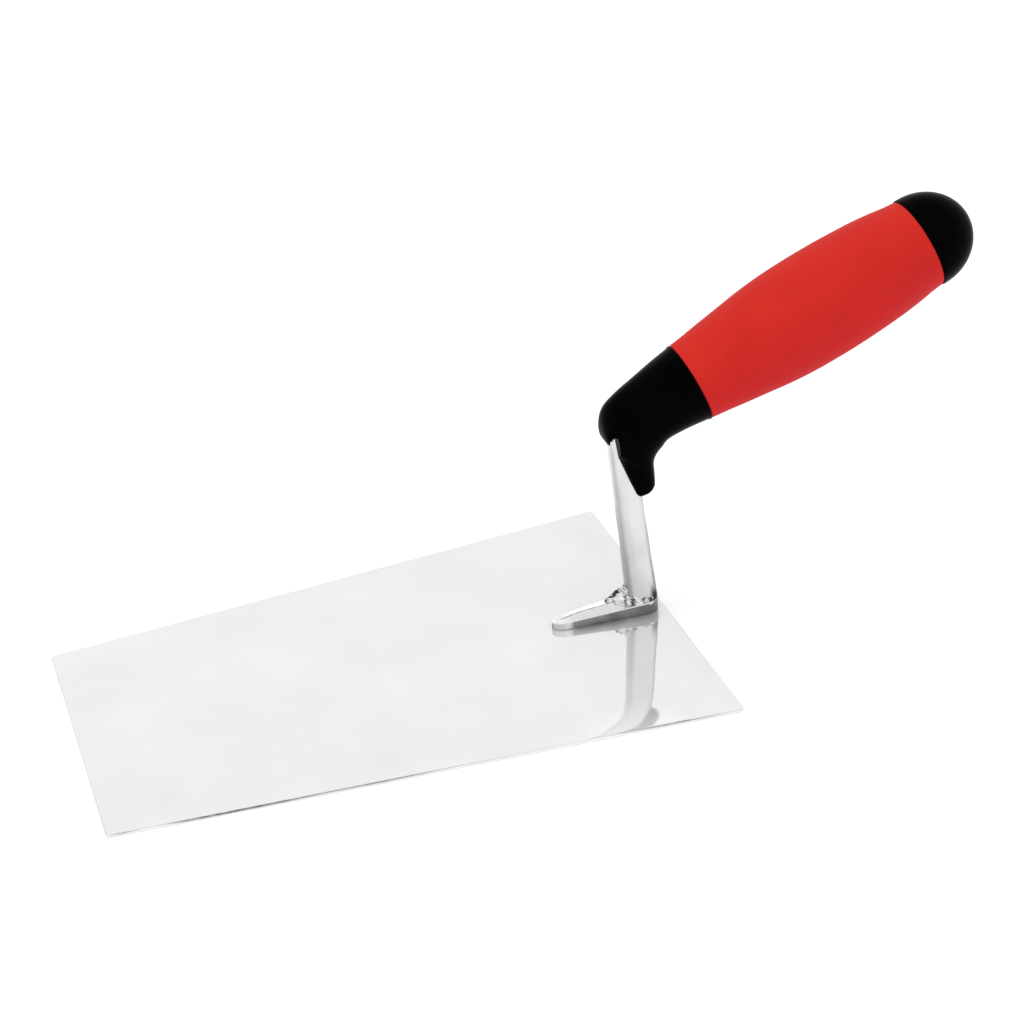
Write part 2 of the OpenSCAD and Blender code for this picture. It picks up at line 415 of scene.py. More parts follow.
def weld_metal():
    """Plated weld: bright lumps, with dark streaks that are partly black scale and partly painted shade,
    and painted shade over its back.
    """
    n = Nodes("weld_metal")
    lumps = n.noise(0.55, 5, 0.6)
    fine = n.noise(2.2, 4)
    colour = n.mix(n.ramp(lumps, 0.35, 0.6, 0, 1), grey(0.5), grey(0.95))
    # Painted value: partly black scale, partly painted shade
    colour = n.mix(n.painted("scale_and_shade"), colour, grey(0.015))
    rough = n.ramp(fine, 0.3, 0.7, 0.1, 0.24)
    normal = n.bump(lumps, 0.25, 0.7)
    normal = n.bump(fine, 0.03, 0.5, normal)
    return n.set(base_color=colour, metallic=1.0, roughness=rough, normal=normal)


def black_plastic():
    """Satin black moulding: a fine spark-eroded texture, rubbed smoother in places."""
    n = Nodes("black_plastic")
    texture = n.noise(2.6, 3)
    rub = n.noise(0.08, 3)
    colour = n.mix(n.ramp(rub, 0.35, 0.7, 0, 1), grey(0.0005), grey(0.0011))
    rough = n.ramp(rub, 0.3, 0.7, 0.22, 0.3)
    normal = n.bump(texture, 0.018, 0.6)
    return n.set(base_color=colour, roughness=rough, specular_ior_level=0.009, normal=normal)


def red_grip():
    """Matt red moulding with a soft skin: faint mottling and flow marks along the handle, and painted
    light, a more orange red on the upper side and a redder one below.
    """
    n = Nodes("red_grip")
    tilt = (0, -math.atan2(GRIP_DIR.z, GRIP_DIR.x), 0)
    mottle = n.noise(0.05, 5, 0.6)
    flow = n.noise(0.06, 3, stretch=((0.25, 1, 1), tilt))
    skin_texture = n.noise(2.2, 3)
    nicks = n.ramp(n.noise(0.3, 3, 0.6), 0.7, 0.78, 0, 0.35)
    both = n.maths("ADD", n.maths("MULTIPLY", mottle, 0.6), n.maths("MULTIPLY", flow, 0.4))
    # Painted light: a redder copy of the red below and a more orange copy above, blended by the painted
    # side value
    under = n.mix(n.ramp(both, 0.35, 0.65, 0, 1), (0.48, 0.0085, 0.0135), (0.555, 0.0105, 0.016))
    over = n.mix(n.ramp(both, 0.35, 0.65, 0, 1), (0.42, 0.0145, 0.009), (0.48, 0.018, 0.0115))
    colour = n.mix(nicks, n.mix(n.painted("lit_side"), under, over), (0.3, 0.006, 0.006))
    rough = n.ramp(mottle, 0.3, 0.7, 0.6, 0.72)
    normal = n.bump(skin_texture, 0.02, 0.5)
    normal = n.bump(flow, 0.08, 0.4, normal)
    return n.set(base_color=colour, roughness=rough, specular_ior_level=0.1, normal=normal)


def core_plastic():
    """Hard moulding inside the handle."""
    n = Nodes("core_plastic")
    grain = n.noise(1.2, 3)
    colour = n.mix(grain, (0.02, 0.02, 0.021), (0.035, 0.035, 0.036))
    rough = n.ramp(grain, 0.3, 0.7, 0.5, 0.65)
    return n.set(base_color=colour, roughness=rough, normal=n.bump(grain, 0.02))


def dress(obj, material, node):
    """Gives a new piece its material, puts it on the root body and hides the CAD node that it stands in
    for.
    """
    obj.data.materials.clear()
    obj.data.materials.append(material)
    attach(obj, "root")
    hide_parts(node)


# ---------------------------------------------------------------- the blade

EDGE_SLOPE = math.atan((HEEL_HALF_W - TIP_HALF_W) / BLADE_LEN)
CORNER_R = 1.2
EDGE_R = 0.14
# The top rolls off at its edges, by this drop at most. Tilts are in radians
ROLL_W = 1.6
ROLL_DROP = 0.1
ROLL_TILT = 0.05
NEAR_ROLL_TILT = 0.16
# The near edge is sprung by a wider, slight twist, which eases off towards the heel
TWIST_W = 17.0
TWIST_TILT = 0.135
TWIST_DIP = 0.042
HEEL_TWIST = 0.25
EASE_FROM, EASE_LEN = 58, 14
PINCH_TILT = 0.01
# Width of the patch at the near edge, beside the handle, that is rubbed paler by use
RUBBED_W = 15.0
# Stretches of the near edge, in x, as between() takes them
ROLLED = (60, 6, 78, 8)
PINCHED = (66, 4, 71.5, 2.5)
RUBBED = (45, 12, 76, 8)
# The tip, the heel, the near side and the far side: a place on each, and the way out of the blade
NEAR = 2
BLADE_SIDES = [
    (Vector((-BLADE_LEN / 2, 0, 0)), Vector((-1, 0, 0))),
    (Vector((BLADE_LEN / 2, 0, 0)), Vector((1, 0, 0))),
    (Vector((BLADE_LEN / 2, -HEEL_HALF_W, 0)), Vector((math.sin(-EDGE_SLOPE), -math.cos(EDGE_SLOPE), 0))),
    (Vector((BLADE_LEN / 2, HEEL_HALF_W, 0)), Vector((math.sin(-EDGE_SLOPE), math.cos(EDGE_SLOPE), 0))),
]
# How dark the near cut edge is, along the blade from its tip
EDGE_SCALE = [
    (-100, 0.1), (-95, 0.55), (-87, 0.1), (-76, 0.75), (-52, 0.85), (-30, 0.6), (-14, 0.7), (12, 0.28),
    (56, 0.1), (72, 0.6), (86, 0.5), (95, 0.15),
]


def at_edge(inset, width):
    """1 at an edge, falling to 0 at that width inside it."""
    return max(0.0, 1 - max(inset, 0.0) / width)


def between(x, rise_from, rise, fall_from, fall):
    """0, a soft rise to 1, and a soft fall back to 0. Each starts at a place and has a length."""
    return smooth((x - rise_from) / rise) * (1 - smooth((x - fall_from) / fall))


def insets(p):
    """How far a point lies inside each side of the blade, with the side's way out."""
    flat = Vector((p.x, p.y, 0))
    return [((place - flat).dot(out), out) for place, out in BLADE_SIDES]


def blade_ring(inset, z):
    """The blade's outline, drawn in by inset: sides with small arcs at the corners."""
    arc_steps, edge_step, unevenness = 6, 1.6, 0.05
    near_turn, far_turn = 3 * RIGHT_ANGLE - EDGE_SLOPE, RIGHT_ANGLE + EDGE_SLOPE
    corners = [
        (-1, -1, 2 * RIGHT_ANGLE, near_turn), (1, -1, near_turn, 4 * RIGHT_ANGLE),
        (1, 1, 0, far_turn), (-1, 1, far_turn, 2 * RIGHT_ANGLE),
    ]
    r = max(0.0, CORNER_R - inset)
    pull = max(CORNER_R, inset)
    arcs = []
    for sx, sy, first, last in corners:
        x = sx * (BLADE_LEN / 2 - pull)
        y = sy * (lerp(TIP_HALF_W, HEEL_HALF_W, x / BLADE_LEN + 0.5) - pull / math.cos(EDGE_SLOPE))
        steps = [lerp(first, last, k / arc_steps) for k in range(arc_steps + 1)]
        arcs.append([Vector((x + r * math.cos(a), y + r * math.sin(a), 0)) for a in steps])
    points = []
    for i, arc in enumerate(arcs):
        p, q = arc[-1], arcs[(i + 1) % 4][0]
        points.extend(arc)
        full = BLADE_LEN if i % 2 == 0 else 2 * (TIP_HALF_W if i == 3 else HEEL_HALF_W)
        steps = round(full / edge_step)
        inward = Vector((p.y - q.y, q.x - p.x, 0)).normalized()
        for k in range(1, steps):
            at = p.lerp(q, k / steps)
            wave = 0.5 + 0.5 * wrinkle((at.x, at.y, i), 0.35)
            points.append(at + inward * unevenness * wave * max(0.0, 1 - inset))
    drop = ROLL_DROP * at_edge(inset, ROLL_W) ** 2 if z > TOP_Z - EDGE_R / 2 else 0.0
    return [q + Vector((0, 0, z - drop)) for q in points]


def make_blade():
    """A flat sheet whose top rolls off gently at its edges, as buffing leaves it."""
    profile = [(EDGE_R, 0), (EDGE_R * 0.3, EDGE_R * 0.3), (0, EDGE_R), (0, 0.35 * TOP_Z), (0, 0.6 * TOP_Z)]
    profile += [(0, TOP_Z - 1.5 * EDGE_R), (EDGE_R * 0.3, TOP_Z - EDGE_R * 0.6), (EDGE_R, TOP_Z)]
    profile += [(inset, TOP_Z) for inset in (0.4, 0.7, 1.1, 1.6, 2.4, 4, 5.6, 7.4, 9.4, 11.6, 14, 17)]
    points, faces = skin([blade_ring(inset, z) for inset, z in profile])
    obj = to_metres("blade_sheet", points, faces)

    def leaning(p):
        """The top's shading normal, which leans as the real sheet does. (0, 0, 0) leaves it as it is."""
        rows = insets(p)
        if p.z < TOP_Z * 0.85 or min(d for d, _ in rows) < EDGE_R * 0.9:
            return Vector((0, 0, 0))
        lean = Vector((0, 0, 1))
        for side, (d, out) in enumerate(rows):
            rolled = between(p.x, *ROLLED) if side == NEAR else 0.0
            lean += out * lerp(ROLL_TILT, NEAR_ROLL_TILT, rolled) * at_edge(d, ROLL_W) ** 2
        wide = at_edge(rows[NEAR][0], TWIST_W)
        sprung = lerp(1.0, HEEL_TWIST, smooth((p.x - EASE_FROM) / EASE_LEN))
        pinch = PINCH_TILT * between(p.x, *PINCHED) * smooth(1.5 * wide)
        lean += Vector((TWIST_TILT * sprung * wide**3 + pinch, -TWIST_DIP * wide * (1 - wide), 0))
        return lean.normalized()

    def dark_edge_line(p):
        """Darkness of the cut edge, deepest along its top corner."""
        low, middle, high = 0.2 * TOP_Z, 0.5 * TOP_Z, 0.75 * TOP_Z
        depth, out = min(insets(p), key=lambda row: row[0])
        if p.z < low or depth > EDGE_R * 1.2:
            return 0.0
        if out == BLADE_SIDES[NEAR][1]:
            dark = curve(EDGE_SCALE, p.x)
        else:
            dark = 0.06 + 0.2 * smooth(0.5 + wrinkle((p.x, p.y, 0), 0.03, 5))
        if p.z > high:
            return max(0.0, dark)
        return max(0.0, 2 * dark - (0.9 if p.z > middle else 1.3))

    def rubbed(p):
        return between(p.x, *RUBBED) * at_edge(insets(p)[NEAR][0], RUBBED_W)

    normals = [leaning(v.co / MM) for v in obj.data.vertices]
    obj.data.normals_split_custom_set_from_vertices(normals)
    paint(obj, "dark_edge_line", dark_edge_line)
    paint(obj, "rubbed", rubbed)
    dress(obj, blade_steel(), "blade")


# ---------------------------------------------------------------- the foot

def foot_wall_h(x):
    """Height of the foot's wall over the blade's top."""
    return lerp(WALL_TOE_H, WALL_BACK_H, (x - FOOT_TOE_X) / (FOOT_BACK_X - FOOT_TOE_X))


def foot_ridge_h(x):
    """Height of the foot's ridge over the blade's top."""
    rise = RIDGE_H * smooth((x - FOOT_TOE_X) / RIDGE_RISE)
    return foot_wall_h(min(x, FOOT_BACK_X)) + rise


def foot_outline(grow=0.0):
    """Plan outline of the foot: a bullet-shaped toe, a round back end and the straight sides between."""
    arc_steps, side_steps = 24, 26
    lean = math.asin((FOOT_BACK_R - FOOT_TOE_R) / (FOOT_BACK_X - FOOT_TOE_X))
    side = RIGHT_ANGLE + lean
    toe_x = FOOT_TOE_X - FOOT_TOE_R + FOOT_TOE_LONG
    toe_half = FOOT_TOE_R + (toe_x - FOOT_TOE_X) * math.tan(lean)
    ends = [
        (toe_x, FOOT_TOE_LONG + grow, toe_half + grow, side, 4 * RIGHT_ANGLE - side),
        (FOOT_BACK_X, FOOT_BACK_R + grow, FOOT_BACK_R + grow, -side, side),
    ]

    def rim_point(end, facing):
        """The point of an elliptical end whose rim faces that way."""
        x, rx, ry, _, _ = end
        a = math.atan2(ry * math.sin(facing), rx * math.cos(facing))
        return Vector((x + rx * math.cos(a), ry * math.sin(a), 0))

    points = []
    for k, end in enumerate(ends):
        arc = [rim_point(end, lerp(end[3], end[4], i / arc_steps)) for i in range(arc_steps + 1)]
        points.extend(arc)
        start, stop = arc[-1], rim_point(ends[1 - k], ends[1 - k][3])
        points.extend(start.lerp(stop, i / side_steps) for i in range(1, side_steps))
    return points


# How dark the wall is painted near the toe, by distance back from its tip: a painted dark outline at the
# tip, a painted highlight where the value falls to 0, and the darker long side behind
TOE_SHADE_AND_HIGHLIGHT = [
    (0, 0.95), (0.3, 0.6), (1.2, 0.45), (3.6, 0.35), (4.6, 0.1), (5.4, 0.0), (6.4, 0.8), (8, 0.9),
]


def make_foot():
    """Foot with upright walls, a worn top edge and a roof of two slopes up to the ridge."""
    edge_r, base_r, dent_depth = 0.34, 0.08, 0.07
    wall_steps, edge_steps, base_steps = 6, 4, 3
    roof = [0.08, 0.2, 0.32, 0.44, 0.56, 0.68, 0.79, 0.87, 0.92, 0.96, 1.0]
    rings = [[p + Vector((0, 0, TOP_Z)) for p in foot_outline(-2 * base_r)]]
    for a in quarter(base_steps)[:-1]:
        ring = foot_outline(-base_r * (1 - math.sin(a)))
        rings.append([p + Vector((0, 0, TOP_Z + base_r * (1 - math.cos(a)))) for p in ring])
    for k in range(wall_steps + 1):
        ring = []
        for p in foot_outline():
            h = lerp(base_r, foot_wall_h(p.x) - edge_r, k / wall_steps)
            ring.append(p + Vector((0, 0, TOP_Z + h)))
        rings.append(ring)
    for a in quarter(edge_steps)[1:]:
        ring = []
        for p in foot_outline(-edge_r * (1 - math.cos(a))):
            ring.append(p + Vector((0, 0, TOP_Z + foot_wall_h(p.x) - edge_r * (1 - math.sin(a)))))
        rings.append(ring)
    rim = foot_outline(-edge_r)
    for t in roof:
        ring = []
        for p in rim:
            spine_x = min(max(p.x, FOOT_TOE_X), FOOT_BACK_X)
            q = p.lerp(Vector((spine_x, 0, 0)), t)
            z = lerp(foot_wall_h(p.x), foot_ridge_h(spine_x), t)
            dent = dent_depth * wrinkle(q, 0.3) * smooth(3 * t)
            ring.append(Vector((q.x, q.y, TOP_Z + z + dent)))
        rings.append(ring)
    points, faces = skin(rings, close_last=False)
    obj = to_metres("foot_plate", points, faces)

    def wall(p):
        """Darker on the long sides; round the toe, a painted highlight and a painted dark outline; a
        painted contact shadow as a dark line at the blade; and painted shade over the roof at the back end.
        """
        contact_shadow_h, back_rim, margin = 0.5, 1.5, 0.02
        roof_start = TOP_Z + foot_wall_h(min(p.x, FOOT_BACK_X)) - edge_r + margin
        back = p.x - FOOT_TOE_X + FOOT_TOE_R
        # Painted contact shadow: a dark line along the foot of the wall
        contact_shadow = 0.9 * (1 - smooth((p.z - TOP_Z) / contact_shadow_h))
        if p.z > roof_start:
            return 0.9 * smooth((p.x - FOOT_BACK_X - back_rim) / back_rim)
        if back > TOE_SHADE_AND_HIGHLIGHT[-1][0]:
            return lerp(0.9, 1.0, smooth(back / 20))
        if p.y > 1.0:
            return 0.95
        return max(contact_shadow, curve(TOE_SHADE_AND_HIGHLIGHT, back))

    def ridge(p):
        """A dark line along the ridge, which fades in behind the toe."""
        line_w, base_h = 0.34, 2
        if p.z < TOP_Z + base_h:
            return 0.0
        return smooth(1 - abs(p.y) / line_w) * smooth((p.x - FOOT_TOE_X + 1) / 2)

    paint(obj, "wall", wall)
    paint(obj, "ridge", ridge)
    dress(obj, foot_steel(), "foot")


# ---------------------------------------------------------------- the shank

def bar_section(length, width, flat, steps=48):
    """Section of the bar: a round-edged rectangle. flat is 0 for round sides, 1 for flat ones."""
    points = []
    power = lerp(2.0, 4.0, flat)
    for k in range(steps):
        a = 2 * math.pi * (k + 0.5) / steps
        c, s = math.cos(a), math.sin(a)
        r = squircle(c, s, power)
        points.append((length / 2 * c * r, width / 2 * s * r))
    return points


def shank_ring(centre, heading, length, width, flat=0.6):
    """A section across the shank: heading is the way the centre line runs."""
    back = rearward(heading)
    return [centre + back * u + SIDE * v for u, v in bar_section(length, width, flat)]


def make_shank():
    """The flattened neck, its bend inside the nose, and the round tang inside the handle."""
    # Length and width of the neck's section, by height along its centre line
    sizes = [(0, (10.9, 7.4)), (6, (10.5, 7.1)), (14, (10.1, 7.0)), (40, (9.3, 6.7)), (80, (8.8, 6.4))]
    # Diameter of the tang, by distance from the bend
    tang = [(0.0, 5.9), (1.5, 5.6), (62.0, 4.4), (63.6, 3.4)]
    sunk, neck_steps, bend_steps = 0.3, 60, 12
    flare_h, flare_reach, unevenness = 20, 0.9, 0.12
    neck_len = (CORNER - NECK_FOOT).length
    turn = NECK_DIR.angle(GRIP_DIR)
    cut = BEND_R * math.tan(turn / 2)
    bend_start, bend_end = neck_len - cut, CORNER + cut * GRIP_DIR
    rings = []
    for k in range(neck_steps + 1):
        s = lerp(TOP_Z + WALL_BACK_H - sunk, bend_start, k / neck_steps)
        length, width = curve(sizes, s)
        flare = flare_reach * max(0.0, 1 - s / flare_h) ** 2
        dent = Vector((wrinkle((s, 0, 0), 0.12, 3), 0, 0)) * unevenness
        centre = NECK_FOOT + NECK_DIR * s - rearward(NECK_DIR) * flare / 2 + dent
        rings.append(shank_ring(centre, NECK_DIR, length + flare, width))
    pivot = NECK_FOOT + NECK_DIR * bend_start + rearward(NECK_DIR) * BEND_R
    for k in range(1, bend_steps + 1):
        heading = Matrix.Rotation(turn * k / bend_steps, 3, SIDE) @ NECK_DIR
        rings.append(shank_ring(pivot - rearward(heading) * BEND_R, heading, *sizes[-1][1]))
    for s, d in tang:
        rings.append(shank_ring(bend_end + GRIP_DIR * s, GRIP_DIR, d, d, 0))
    points, faces = skin(rings)
    obj = to_metres("shank_bar", points, faces)

    def scale(p):
        """Painted shade on the bar's corners, standing in for their dark reflections, heaviest low down at
        the back, where a painted dark patch covers the rear corners.
        """
        half_len, half_w = 5.0, 3.4
        along = (p.x - NECK_FOOT.x - NECK_DIR.x * p.z) / half_len
        across = abs(p.y) / half_w
        corner = smooth((abs(along) - 0.62) / 0.3) * smooth((across - 0.1) / 0.5)
        corner = max(corner, 0.9 * smooth((-along - 0.85) / 0.12))
        low = 1 - smooth((p.z - 8) / 50)
        front = corner * lerp(0.1, 0.55, low) if along < 0 else corner * lerp(0.25, 0.75, low)
        # A painted dark patch low on the rear corners, standing in for shade
        rear_shade = smooth((along - 0.35) / 0.25) * smooth((across - 0.3) / 0.3) * (1 - smooth((p.z - 7) / 6))
        return min(1.0, max(front, rear_shade))

    paint(obj, "scale", scale)
    dress(obj, plated_steel(), "shank")


# ---------------------------------------------------------------- the weld

def roof_h(x, y):
    """Height of the foot's roof over the blade's top, at a place on its plan."""
    x = min(max(x, FOOT_TOE_X), FOOT_BACK_X)
    half = lerp(FOOT_TOE_R, FOOT_BACK_R, (x - FOOT_TOE_X) / (FOOT_BACK_X - FOOT_TOE_X))
    return lerp(foot_ridge_h(x), foot_wall_h(x), min(1.0, abs(y) / half))


def make_weld():
    """Weld bead: a collar round the neck, a thick lump in front, and webs at the neck's front corners."""
    around, steps = 150, 46
    # Half lengths and half widths of the bead: outside on the roof, and inside the neck
    collar_x, collar_y, inner_x, inner_y = 5.4, 4.6, 4.4, 2.6
    # The lump's reach, its lean to the far side, and how much wider and higher the webs are
    lump_x, lump_lean, web_w, web_h = 12.4, 2.8, 0.9, 2.6
    collar_h, lump_h, sunk, set_forward = 1.6, 5.8, 0.5, 0.9
    # How far the lumps swell out along the neck's length, across it and upwards
    swell_x, swell_y, swell_z = 0.35, 0.4, 0.8
    centre_x = NECK_FOOT.x - set_forward

    def bead_point(a, t):
        """A point at an angle round the neck, from t = 0 on the roof to t = 1 inside the neck."""
        c, s = math.cos(a), math.sin(a)
        front, spread = max(0.0, -c), 1 - t
        lumpy = front**3
        web = between(front, 0.2, 0.5, 0.8, 0.2)
        narrow = lerp(1.0, 0.85, front**2)
        x = centre_x + c * lerp(inner_x, lerp(collar_x, lump_x, lumpy), spread)
        y = s * lerp(inner_y, collar_y + web_w * web, spread) * narrow + lump_lean * lumpy * spread
        rise = (lerp(collar_h, lump_h, lumpy) + web_h * web) * t ** lerp(1.3, 1.2, front)
        body = smooth(5 * t) * smooth(2.5 * spread + 0.2) * lerp(0.55, 1.0, front)
        lump = 0.55 * wrinkle((x, y, rise), 0.42) + 0.4 * wrinkle((x, y, rise), 0.9, 3)
        crease = 0.7 * (1 - 3.0 * abs(wrinkle((x, y, rise), 0.45, 9)))
        push = (lump + crease + 0.2) * body
        z = TOP_Z + roof_h(x, y) - sunk * (1 - smooth(6 * t)) + rise
        return Vector((x + c * push * swell_x, y + s * push * swell_y, z + swell_z * push))

    angles = [2 * math.pi * i / around for i in range(around)]
    rings = [[bead_point(a, k / steps) for a in angles] for k in range(steps + 1)]
    points, faces = skin(rings)
    obj = to_metres("neck_weld_bead", points, faces)

    def scale_and_shade(p):
        """Dark streaks, partly black scale and partly painted shade, thicker on the far side in front, with
        painted shade over the back.
        """
        streak = wrinkle((p.x, p.y, 0.5 * p.z), 0.55, 21) + 0.5 * wrinkle(p, 1.5, 31)
        # Painted shade over the back of the bead
        back = smooth((p.x - NECK_FOOT.x - 3.2) / 1.2)
        far = 0.35 * smooth((p.y - 0.3) / 1.2) * smooth((NECK_FOOT.x - 5 - p.x) / 2)
        return max(0.9 * back, smooth((streak + far - 0.09) / 0.26) * 0.95)

    paint(obj, "scale_and_shade", scale_and_shade)
    dress(obj, weld_metal(), "neck_weld")


# ---------------------------------------------------------------- the handle

def handle_ring(s, r, steps=96):
    """A round section of the handle, s along its axis."""
    ring = []
    for i in range(steps):
        a = 2 * math.pi * i / steps
        ring.append(GRIP_START + GRIP_DIR * s + (GRIP_UP * math.cos(a) + SIDE * math.sin(a)) * r)
    return ring


# Where the sleeve meets the nose's rim, and the sleeve's radius by distance along the axis
SLEEVE_FRONT = -0.36
SLEEVE_PROFILE = [
    (0, 13.55), (5, 14.15), (11, 15.0), (20, 16.2), (29, 17.35), (38, 18.0), (BELLY_POS, 18.2),
    (56, 18.1), (64, 17.75), (72, 17.2), (78, 16.5), (83, 15.75), (SLEEVE_LEN, 15.4),
]


def make_sleeve():
    """Red sleeve: a tube with a belly and soft lips at both ends."""
    steps, lip_steps, lip, wall = 90, 4, 0.5, 2.5
    rings = []

    def outer(s):
        return curve(SLEEVE_PROFILE, s)

    rings.append(handle_ring(SLEEVE_FRONT, outer(0) - wall))
    for a in quarter(lip_steps):
        s = SLEEVE_FRONT + lip * (1 - math.cos(a))
        rings.append(handle_ring(s, outer(0) - lip * (1 - math.sin(a))))
    for k in range(1, steps):
        s = lerp(SLEEVE_FRONT + lip, SLEEVE_LEN - lip, k / steps)
        rings.append(handle_ring(s, outer(s)))
    for a in quarter(lip_steps):
        s = SLEEVE_LEN - lip + lip * math.sin(a)
        rings.append(handle_ring(s, outer(SLEEVE_LEN) - lip * (1 - math.cos(a))))
    rings.append(handle_ring(SLEEVE_LEN, outer(SLEEVE_LEN) - wall))
    for k in range(1, steps):
        s = lerp(SLEEVE_LEN, SLEEVE_FRONT, k / steps)
        rings.append(handle_ring(s, outer(s) - wall))
    points, faces = skin(rings, False, False)
    n = len(rings[0])
    last = len(points) - n
    faces += [(last + i, last + (i + 1) % n, (i + 1) % n, i) for i in range(n)]
    obj = to_metres("red_sleeve", points, faces)

    def lit_side(p):
        """Painted light mask: 1 on the side that faces up and a little towards the near side, 0 on the
        opposite one.
        """
        off = p - GRIP_START
        off -= off.dot(GRIP_DIR) * GRIP_DIR
        return 0.5 + 0.5 * off.normalized().dot((GRIP_UP - 0.3 * SIDE).normalized())

    paint(obj, "lit_side", lit_side)
    dress(obj, red_grip(), "grip_sleeve")


CAP_START = SLEEVE_LEN + 0.05
CAP_R = 15.7
DOME_START = SLEEVE_LEN + 1.2
DOME_LEN = 17.2


def make_cap():
    """Domed end cap, with a rounded edge against the sleeve."""
    edge_r, edge_steps, dome_steps, face_w = 0.45, 4, 30, 4
    rings = [handle_ring(CAP_START, CAP_R - face_w)]
    for a in quarter(edge_steps):
        s = CAP_START + edge_r * (1 - math.cos(a))
        rings.append(handle_ring(s, CAP_R - edge_r * (1 - math.sin(a))))
    for a in quarter(dome_steps)[:-1]:
        rings.append(handle_ring(DOME_START + DOME_LEN * math.sin(a), CAP_R * math.cos(a)))
    rings.append([GRIP_START + GRIP_DIR * (DOME_START + DOME_LEN)])
    points, faces = skin(rings)
    obj = to_metres("handle_cap", points, faces)
    dress(obj, black_plastic(), "end_cap")


# Stations of the nose and finger guard, from the sleeve down to the guard's tip. Each is
# (front x, front z, back x, back z, half width, squareness in front, squareness behind),
# from the corner where the neck's and the handle's centre lines cross.
NOSE_FALL = [
    (6.7, 14.7, 16.1, -6.8, 11.2, 2.0, 2.0), (0.6, 11.0, 13.7, -9.5, 10.6, 2.0, 2.0),
    (-4.0, 7.1, 12.0, -11.85, 9.8, 2.1, 2.0), (-5.7, 2.6, 11.1, -14.4, 9.0, 2.4, 2.1),
    (-5.35, -3.3, 11.15, -17.2, 8.0, 3.2, 2.2), (-2.1, -8.6, 11.25, -19.7, 6.8, 4.2, 2.3),
    (0.4, -15.2, 11.3, -21.9, 5.7, 4.6, 2.4), (2.7, -21.4, 11.2, -23.2, 4.9, 4.6, 2.4),
    (4.1, -24.9, 10.1, -24.7, 4.2, 4.0, 2.2), (5.3, -26.8, 7.8, -26.2, 2.0, 2.4, 2.2),
]


def barrel_station(s, r):
    """A round station on the handle's axis, s before the sleeve."""
    c = GRIP_START - CORNER - s * GRIP_DIR
    return (c.x + r * GRIP_UP.x, c.z + r * GRIP_UP.z, c.x - r * GRIP_UP.x, c.z - r * GRIP_UP.z, r, 2.0, 2.0)


def nose_ring(station, steps=96):
    """The section of the nose at a station."""
    front_x, front_z, back_x, back_z, half_w, front_power, back_power = station
    middle = Vector(((front_x + back_x) / 2, 0, (front_z + back_z) / 2)) + CORNER
    arm = Vector(((front_x - back_x) / 2, 0, (front_z - back_z) / 2))
    ring = []
    for i in range(steps):
        a = 2 * math.pi * i / steps
        c, s = math.cos(a), math.sin(a)
        k = squircle(c, s, front_power if c > 0 else back_power)
        ring.append(middle + arm * c * k + SIDE * half_w * s * k)
    return ring


def bake_modifiers(obj):
    """Gives an object the mesh that its modifiers make."""
    graph = bpy.context.evaluated_depsgraph_get()
    result = bpy.data.meshes.new_from_object(obj.evaluated_get(graph))
    obj.modifiers.clear()
    obj.data = result


def cut_mouth(nose):
    """Opens both cheeks of the nose where the neck comes out, under a small arch."""
    # The opening's sides, roof and lower end from CORNER, and how far its back edge runs off below
    front, back, top, low, slant = -4.8, -2.3, -2.5, -30.0, 3.4
    # Half width of the neck's slot, and how the cheeks' back edge and roof change outside it
    cheek, outside, closing, opening = 3.3, 10.0, 0.1, 0.55
    arch, arch_steps, crease = 0.45, 8, math.radians(35)
    rings = []
    for y in (-outside, -cheek, cheek, outside):
        past = abs(y) - cheek
        rear, roof = back - closing * past, top + opening * past
        arch_r = arch * (rear - front)
        ring = [(front, low), (rear + slant, low)]
        for a in quarter(arch_steps):
            ring.append((rear - arch_r * (1 - math.cos(a)), roof - arch_r * (1 - math.sin(a))))
        for a in quarter(arch_steps):
            ring.append((front + arch_r * (1 - math.sin(a)), roof - arch_r * (1 - math.cos(a))))
        rings.append([CORNER + Vector((x, y, z)) for x, z in ring])
    points, faces = skin(rings)
    cutter = to_metres("mouth_cutter", points, faces, True)
    cut = nose.modifiers.new("mouth", "BOOLEAN")
    cut.operation = "DIFFERENCE"
    cut.solver = "EXACT"
    cut.object = cutter
    bake_modifiers(nose)
    bpy.data.objects.remove(cutter)
    nose.data.set_sharp_from_angle(angle=crease)
    even = nose.modifiers.new("even_shading", "WEIGHTED_NORMAL")
    even.keep_sharp = True
    bake_modifiers(nose)


def make_nose():
    """Black nose of the handle, which turns down into the finger guard."""
    steps_per_station = 9
    stations = [barrel_station(0, 13.55), barrel_station(8, 12.45)] + NOSE_FALL
    knots = [(float(i), v) for i, v in enumerate(stations)]
    # A soft rim against the sleeve, each (distance before the sleeve, radius), instead of two steps
    rim = [(0.4, 9.0), (0.4, 13.35), (0.55, 13.65), (0.8, 13.7), (1.1, 13.55), (1.4, 13.4)]
    rim_steps = 2
    rings = [nose_ring(barrel_station(s, r)) for s, r in rim]
    last = (len(stations) - 1) * steps_per_station
    for k in range(rim_steps, last + 1):
        rings.append(nose_ring(curve(knots, k / steps_per_station)))
    points, faces = skin(rings)
    obj = to_metres("nose_and_guard", points, faces)
    cut_mouth(obj)
    dress(obj, black_plastic(), "nose_guard")


# ---------------------------------------------------------------- the studio

def floor_paper():
    """Pale matt paper, with a little glow of its own so that it stays white round the object."""
    n = Nodes("floor_paper")
    tone = n.mix(n.ramp(n.noise(0.01, 2), 0.3, 0.7, 0, 1), grey(0.79), grey(0.81))
    n.set(emission_color=(1, 1, 1), emission_strength=0.1)
    return n.set(base_color=tone, roughness=0.9, specular_ior_level=0.0)


